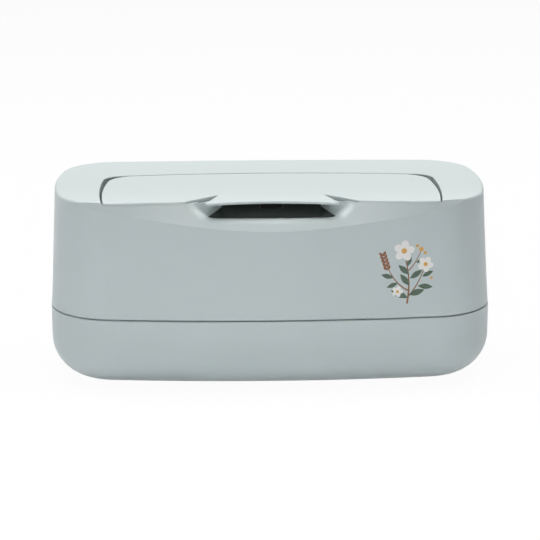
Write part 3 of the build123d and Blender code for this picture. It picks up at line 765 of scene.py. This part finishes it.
@dataclass(frozen=True)
class PrintedSprig:
    """A small print of leaves, blooms and a seed head on the right of the shell's front.

    Its shapes are in millimetres across and up from its middle. Each shape in a colour lies a hair
    higher than the one before it, so that no two films share a surface.
    """

    middle_mm: Point = (66.2, 61.0)
    buried_mm: float = 0.02
    overprint_mm: float = 0.0004
    weld_mm: float = 0.0001
    in_front_mm: float = -100.0
    petals_each: int = 5
    petal_belly: float = 0.75
    petal_bluntness: float = 0.6
    blooms: tuple[Bloom, ...] = (
        Bloom((-1.2, 10.6), 5.4, 3.9, 8.0, 1.35),
        Bloom((9.6, 3.6), 4.1, 3.0, 30.0, 1.05),
        Bloom((-4.4, -9.8), 2.9, 2.1, 20.0, 0.75),
    )
    buds: tuple[tuple[Point, float], ...] = (
        ((7.4, 11.2), 1.15),
        ((9.4, 9.4), 0.8),
        ((5.4, 13.0), 0.8),
        ((12.6, -3.4), 0.7),
    )
    seed_head: SeedHead = SeedHead()

    def build(self) -> list[bpy.types.Object]:
        """Print the sprig colour by colour.

        Returns:
            One piece for each ink.
        """
        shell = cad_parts["top_shell"]
        corners = [shell.matrix_world @ corner.co for corner in shell.data.vertices]
        skin = BVHTree.FromPolygons(corners, [list(face.vertices) for face in shell.data.polygons])
        return [
            self.coat(name, strips, ink, proud_mm, skin)
            for name, strips, ink, proud_mm in (
                ("print_stalks", self.stalks(), STALK_INK, 0.02),
                ("print_leaves", self.leaves(), LEAF_INK, 0.03),
                ("print_petals", self.petals(), PETAL_INK, 0.04),
                ("print_pollen", self.pollen(), POLLEN_INK, 0.05),
            )
        ]

    def stalks(self) -> list[Strip]:
        """Draw the stalks and the seed head.

        Returns:
            Their strips.
        """
        strips = [
            stalk((0.4, -16.0), (2.6, -4.0), (-0.8, 7.5), 0.95),
            stalk((0.9, -12.5), (5.6, -7.5), (8.9, 1.6), 0.75),
            stalk((1.3, -9.5), (-5.6, -6.5), (-9.6, 3.2), 0.75),
            stalk((1.0, 0.6), (4.6, 4.0), (7.2, 10.2), 0.6),
        ]
        head = self.seed_head
        for pair in range(head.pairs):
            rise = pair * head.pitch
            root = (head.foot[0] - head.lean * rise, head.foot[1] + rise)
            strips.extend(blade(root, angle, head.length, head.width) for angle in head.angles)
        return strips

    def leaves(self) -> list[Strip]:
        """Draw the leaves.

        Returns:
            Their strips.
        """
        return [
            blade((0.9, -13.2), -64.0, 9.6, 3.4),
            blade((1.1, -11.6), 74.0, 8.4, 3.1),
            blade((1.6, -7.0), -38.0, 7.6, 2.9),
            blade((1.8, -3.4), 56.0, 7.4, 2.8),
            blade((1.5, -1.4), -48.0, 7.4, 2.8),
            blade((0.6, 2.8), 18.0, 5.6, 2.2),
            blade((5.6, -7.2), 96.0, 7.8, 2.7),
            blade((7.9, -2.6), 64.0, 6.2, 2.3),
            blade((-6.4, -2.8), -74.0, 6.4, 2.4),
            blade((-4.2, -5.4), -112.0, 6.0, 2.2),
            blade((4.6, 4.6), 72.0, 5.2, 1.9),
        ]

    def petals(self) -> list[Strip]:
        """Draw the petals of the three blooms.

        Returns:
            Their strips.
        """
        turn = 360.0 / self.petals_each
        return [
            blade(
                bloom.middle,
                bloom.first_angle + turn * petal,
                bloom.length,
                bloom.width,
                self.petal_belly,
                self.petal_bluntness,
            )
            for bloom in self.blooms
            for petal in range(self.petals_each)
        ]

    def pollen(self) -> list[Strip]:
        """Draw the blooms' middles and the round buds.

        Returns:
            Their strips.
        """
        spots = [(bloom.middle, bloom.spot_radius) for bloom in self.blooms]
        return [dot(middle, radius) for middle, radius in (*spots, *self.buds)]

    def coat(
        self, name: str, strips: list[Strip], ink: PadPrintInk, proud_mm: float, skin: BVHTree
    ) -> bpy.types.Object:
        """Lay one colour on the shell.

        Args:
            name: The piece's name.
            strips: The shapes in this colour.
            ink: The ink.
            proud_mm: How far the film stands out of the plastic, in millimetres.
            skin: The shell's surface.

        Returns:
            The piece, which rides on the shell.
        """
        mesh = bmesh.new()
        for order, (left, right) in enumerate(strips):
            lift_mm = proud_mm + order * self.overprint_mm
            above = [self.lay(mesh, edge, -lift_mm, skin) for edge in (left, right)]
            below = [self.lay(mesh, edge, self.buried_mm, skin) for edge in (left, right)]
            for end in (0, -1):
                mesh.faces.new((above[0][end], below[0][end], below[1][end], above[1][end]))
            for low in range(len(left) - 1):
                high = low + 1
                for ring in (
                    (above[0][low], above[1][low], above[1][high], above[0][high]),
                    (below[1][low], below[0][low], below[0][high], below[1][high]),
                    (below[0][low], above[0][low], above[0][high], below[0][high]),
                    (above[1][low], below[1][low], below[1][high], above[1][high]),
                ):
                    mesh.faces.new(ring)
        bmesh.ops.remove_doubles(mesh, verts=mesh.verts, dist=self.weld_mm * MILLIMETRE)
        bmesh.ops.recalc_face_normals(mesh, faces=mesh.faces)
        data = bpy.data.meshes.new(name)
        mesh.to_mesh(data)
        mesh.free()
        data.materials.append(ink.material())
        piece = bpy.data.objects.new(name, data)
        bpy.context.scene.collection.objects.link(piece)
        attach(piece, "shell")
        LOG.info("printed %s in %s", name, ink.name)
        return piece

    def lay(
        self, mesh: bmesh.types.BMesh, edge: list[Point], back_mm: float, skin: BVHTree
    ) -> list[bmesh.types.BMVert]:
        """Drop the points of an edge on the shell's front.

        Args:
            mesh: The mesh that takes the points.
            edge: Points across and up from the print's middle, in millimetres.
            back_mm: How far behind the surface they lie, in millimetres.
            skin: The shell's surface.

        Returns:
            The points as vertices.
        """
        laid = []
        for across, up in edge:
            start = MILLIMETRE * Vector(
                (self.middle_mm[0] + across, self.in_front_mm, self.middle_mm[1] + up)
            )
            hit = skin.ray_cast(start, Vector((0.0, 1.0, 0.0)))[0]
            laid.append(mesh.verts.new((hit.x, hit.y + back_mm * MILLIMETRE, hit.z)))
        return laid


@dataclass(frozen=True)
class SoftLamp:
    """A soft lamp that hangs over the set. Lengths are in metres and its power is in watts."""

    name: str
    place: tuple[float, float, float]
    aim: tuple[float, float, float]
    size: tuple[float, float]
    power: float
    spread_degrees: float = 180.0

    def build(self) -> bpy.types.Object:
        """Hang the lamp and point it.

        Returns:
            The lamp.
        """
        light = bpy.data.lights.new(self.name, "AREA")
        light.shape = "RECTANGLE"
        light.size, light.size_y = self.size
        light.energy = self.power
        light.spread = math.radians(self.spread_degrees)
        lamp = bpy.data.objects.new(self.name, light)
        lamp.location = self.place
        lamp.rotation_mode = "QUATERNION"
        lamp.rotation_quaternion = (Vector(self.aim) - Vector(self.place)).to_track_quat("-Z", "Y")
        bpy.context.scene.collection.objects.link(lamp)
        return lamp


# Large softbox over the object and a little behind it
TOP_LAMP = SoftLamp("top_softbox", (-0.02, 0.36, 1.1), (0.0, 0.0, 0.05), (1.6, 0.8), 15.0)
# Strip with a honeycomb, which lights only the floor in front, for a bounce from below
FLOOR_LAMP = SoftLamp(
    "floor_strip", (-0.06, -0.25, 0.6), (-0.06, -0.25, 0.0), (0.5, 0.3), 0.6, spread_degrees=24.0
)
# Small softbox on the left
LEFT_LAMP = SoftLamp("left_softbox", (-1.0, -0.8, 0.9), (0.0, 0.0, 0.05), (0.6, 0.6), 0.8)
# Softbox above the camera, a little to the left
FRONT_LAMP = SoftLamp("front_softbox", (-0.3, -1.42, 0.8), (0.0, 0.0, 0.05), (0.9, 0.6), 2.1)


@dataclass(frozen=True)
class Studio:
    """Pale floor, white surroundings and soft lamps.

    shadow_share is how much of the lamps' light and shade the floor shows under its white glow, and
    surround is the strength of the even light that the surroundings cast on the object.
    """

    lamps: tuple[SoftLamp, ...] = (TOP_LAMP, FLOOR_LAMP, LEFT_LAMP, FRONT_LAMP)
    floor_size: float = 6.0
    floor_colour: str = "#F7F8FB"
    shadow_share: float = 0.04
    surround: float = 0.06
    white: str = "#FFFFFF"

    def build(self) -> None:
        """Set up the floor, the world, the lamps and the view transform."""
        self.floor()
        self.world()
        for lamp in self.lamps:
            lamp.build()
        bpy.context.scene.view_settings.view_transform = "Standard"

    def seen_directly(self, tree: bpy.types.NodeTree) -> bpy.types.NodeSocket:
        """Find which rays look at the surroundings or mirror them.

        Args:
            tree: The node tree that needs the answer.

        Returns:
            One for camera, glossy and transmission rays, and zero for light that falls on the
            object.
        """
        path = add_node(tree, "ShaderNodeLightPath")
        either = add_node(
            tree,
            "ShaderNodeMath",
            {0: path.outputs["Is Camera Ray"], 1: path.outputs["Is Glossy Ray"]},
            operation="MAXIMUM",
        )
        return add_node(
            tree,
            "ShaderNodeMath",
            {0: either.outputs[0], 1: path.outputs["Is Transmission Ray"]},
            operation="MAXIMUM",
        ).outputs[0]

    def floor(self) -> bpy.types.Object:
        """Lay a pale floor that shows white and keeps a faint shadow.

        Returns:
            The floor.
        """
        bpy.ops.mesh.primitive_plane_add(size=self.floor_size)
        floor = bpy.context.object
        floor.name = "studio_floor"
        material, tree, output = new_material("paper_backdrop")
        paper = add_node(tree, "ShaderNodeBsdfDiffuse", {"Color": hex_colour(self.floor_colour)})
        glow = add_node(tree, "ShaderNodeEmission", {"Color": hex_colour(self.white)})
        share = add_node(
            tree,
            "ShaderNodeMath",
            {0: self.seen_directly(tree), 1: 1 - self.shadow_share},
            operation="MULTIPLY",
        )
        mixed = add_node(
            tree,
            "ShaderNodeMixShader",
            {0: share.outputs[0], 1: paper.outputs[0], 2: glow.outputs[0]},
        )
        tree.links.new(mixed.outputs[0], output.inputs["Surface"])
        floor.data.materials.append(material)
        return floor

    def world(self) -> None:
        """Surround the object with even light that shows white behind it."""
        world = bpy.data.worlds.new("studio_surround")
        world.use_nodes = True
        bpy.context.scene.world = world
        tree = world.node_tree
        tree.nodes.clear()
        output = add_node(tree, "ShaderNodeOutputWorld")
        light = add_node(
            tree,
            "ShaderNodeBackground",
            {"Color": hex_colour(self.white), "Strength": self.surround},
        )
        backdrop = add_node(
            tree, "ShaderNodeBackground", {"Color": hex_colour(self.white), "Strength": 1.0}
        )
        mixed = add_node(
            tree,
            "ShaderNodeMixShader",
            {0: self.seen_directly(tree), 1: light.outputs[0], 2: backdrop.outputs[0]},
        )
        tree.links.new(mixed.outputs[0], output.inputs["Surface"])


@dataclass(frozen=True)
class StudioCamera:
    """The camera, a little to the left of the front and looking down on it.

    Its place is in metres and its angles are in radians. frame_pixels is the picture's side.
    """

    place: tuple[float, float, float] = (-0.03448, -1.06362, 0.32944)
    yaw: float = -0.032804
    down: float = 0.257909
    roll: float = -0.0009
    focal_pixels: float = 2120.0
    frame_pixels: float = 540.0
    sensor_mm: float = 36.0

    def build(self) -> bpy.types.Object:
        """Place the camera and make it the scene's own.

        Returns:
            The camera.
        """
        data = bpy.data.cameras.new("studio_camera")
        data.sensor_width = self.sensor_mm
        data.lens = self.sensor_mm * self.focal_pixels / self.frame_pixels
        camera = bpy.data.objects.new("studio_camera", data)
        camera.location = self.place
        ahead = Vector(
            (
                -math.sin(self.yaw) * math.cos(self.down),
                math.cos(self.yaw) * math.cos(self.down),
                -math.sin(self.down),
            )
        )
        camera.rotation_mode = "QUATERNION"
        turned = Quaternion((0.0, 0.0, 1.0), self.roll)
        camera.rotation_quaternion = ahead.to_track_quat("-Z", "Y") @ turned
        bpy.context.scene.collection.objects.link(camera)
        bpy.context.scene.camera = camera
        return camera


def main() -> None:
    """Build the camera, the studio and the box's looks in order."""
    logging.basicConfig(level=logging.INFO, format="%(name)s: %(message)s")
    StudioCamera().build()
    Studio().build()
    plastic = BODY_POLYPROPYLENE.material()
    seal = SEAL_SILICONE.material()
    Tray().build(plastic, seal)
    Shell().build(seal)
    Lid().build(plastic)
    PressPlate().build()
    PrintedSprig().build()


if __name__ == "__main__":
    main()
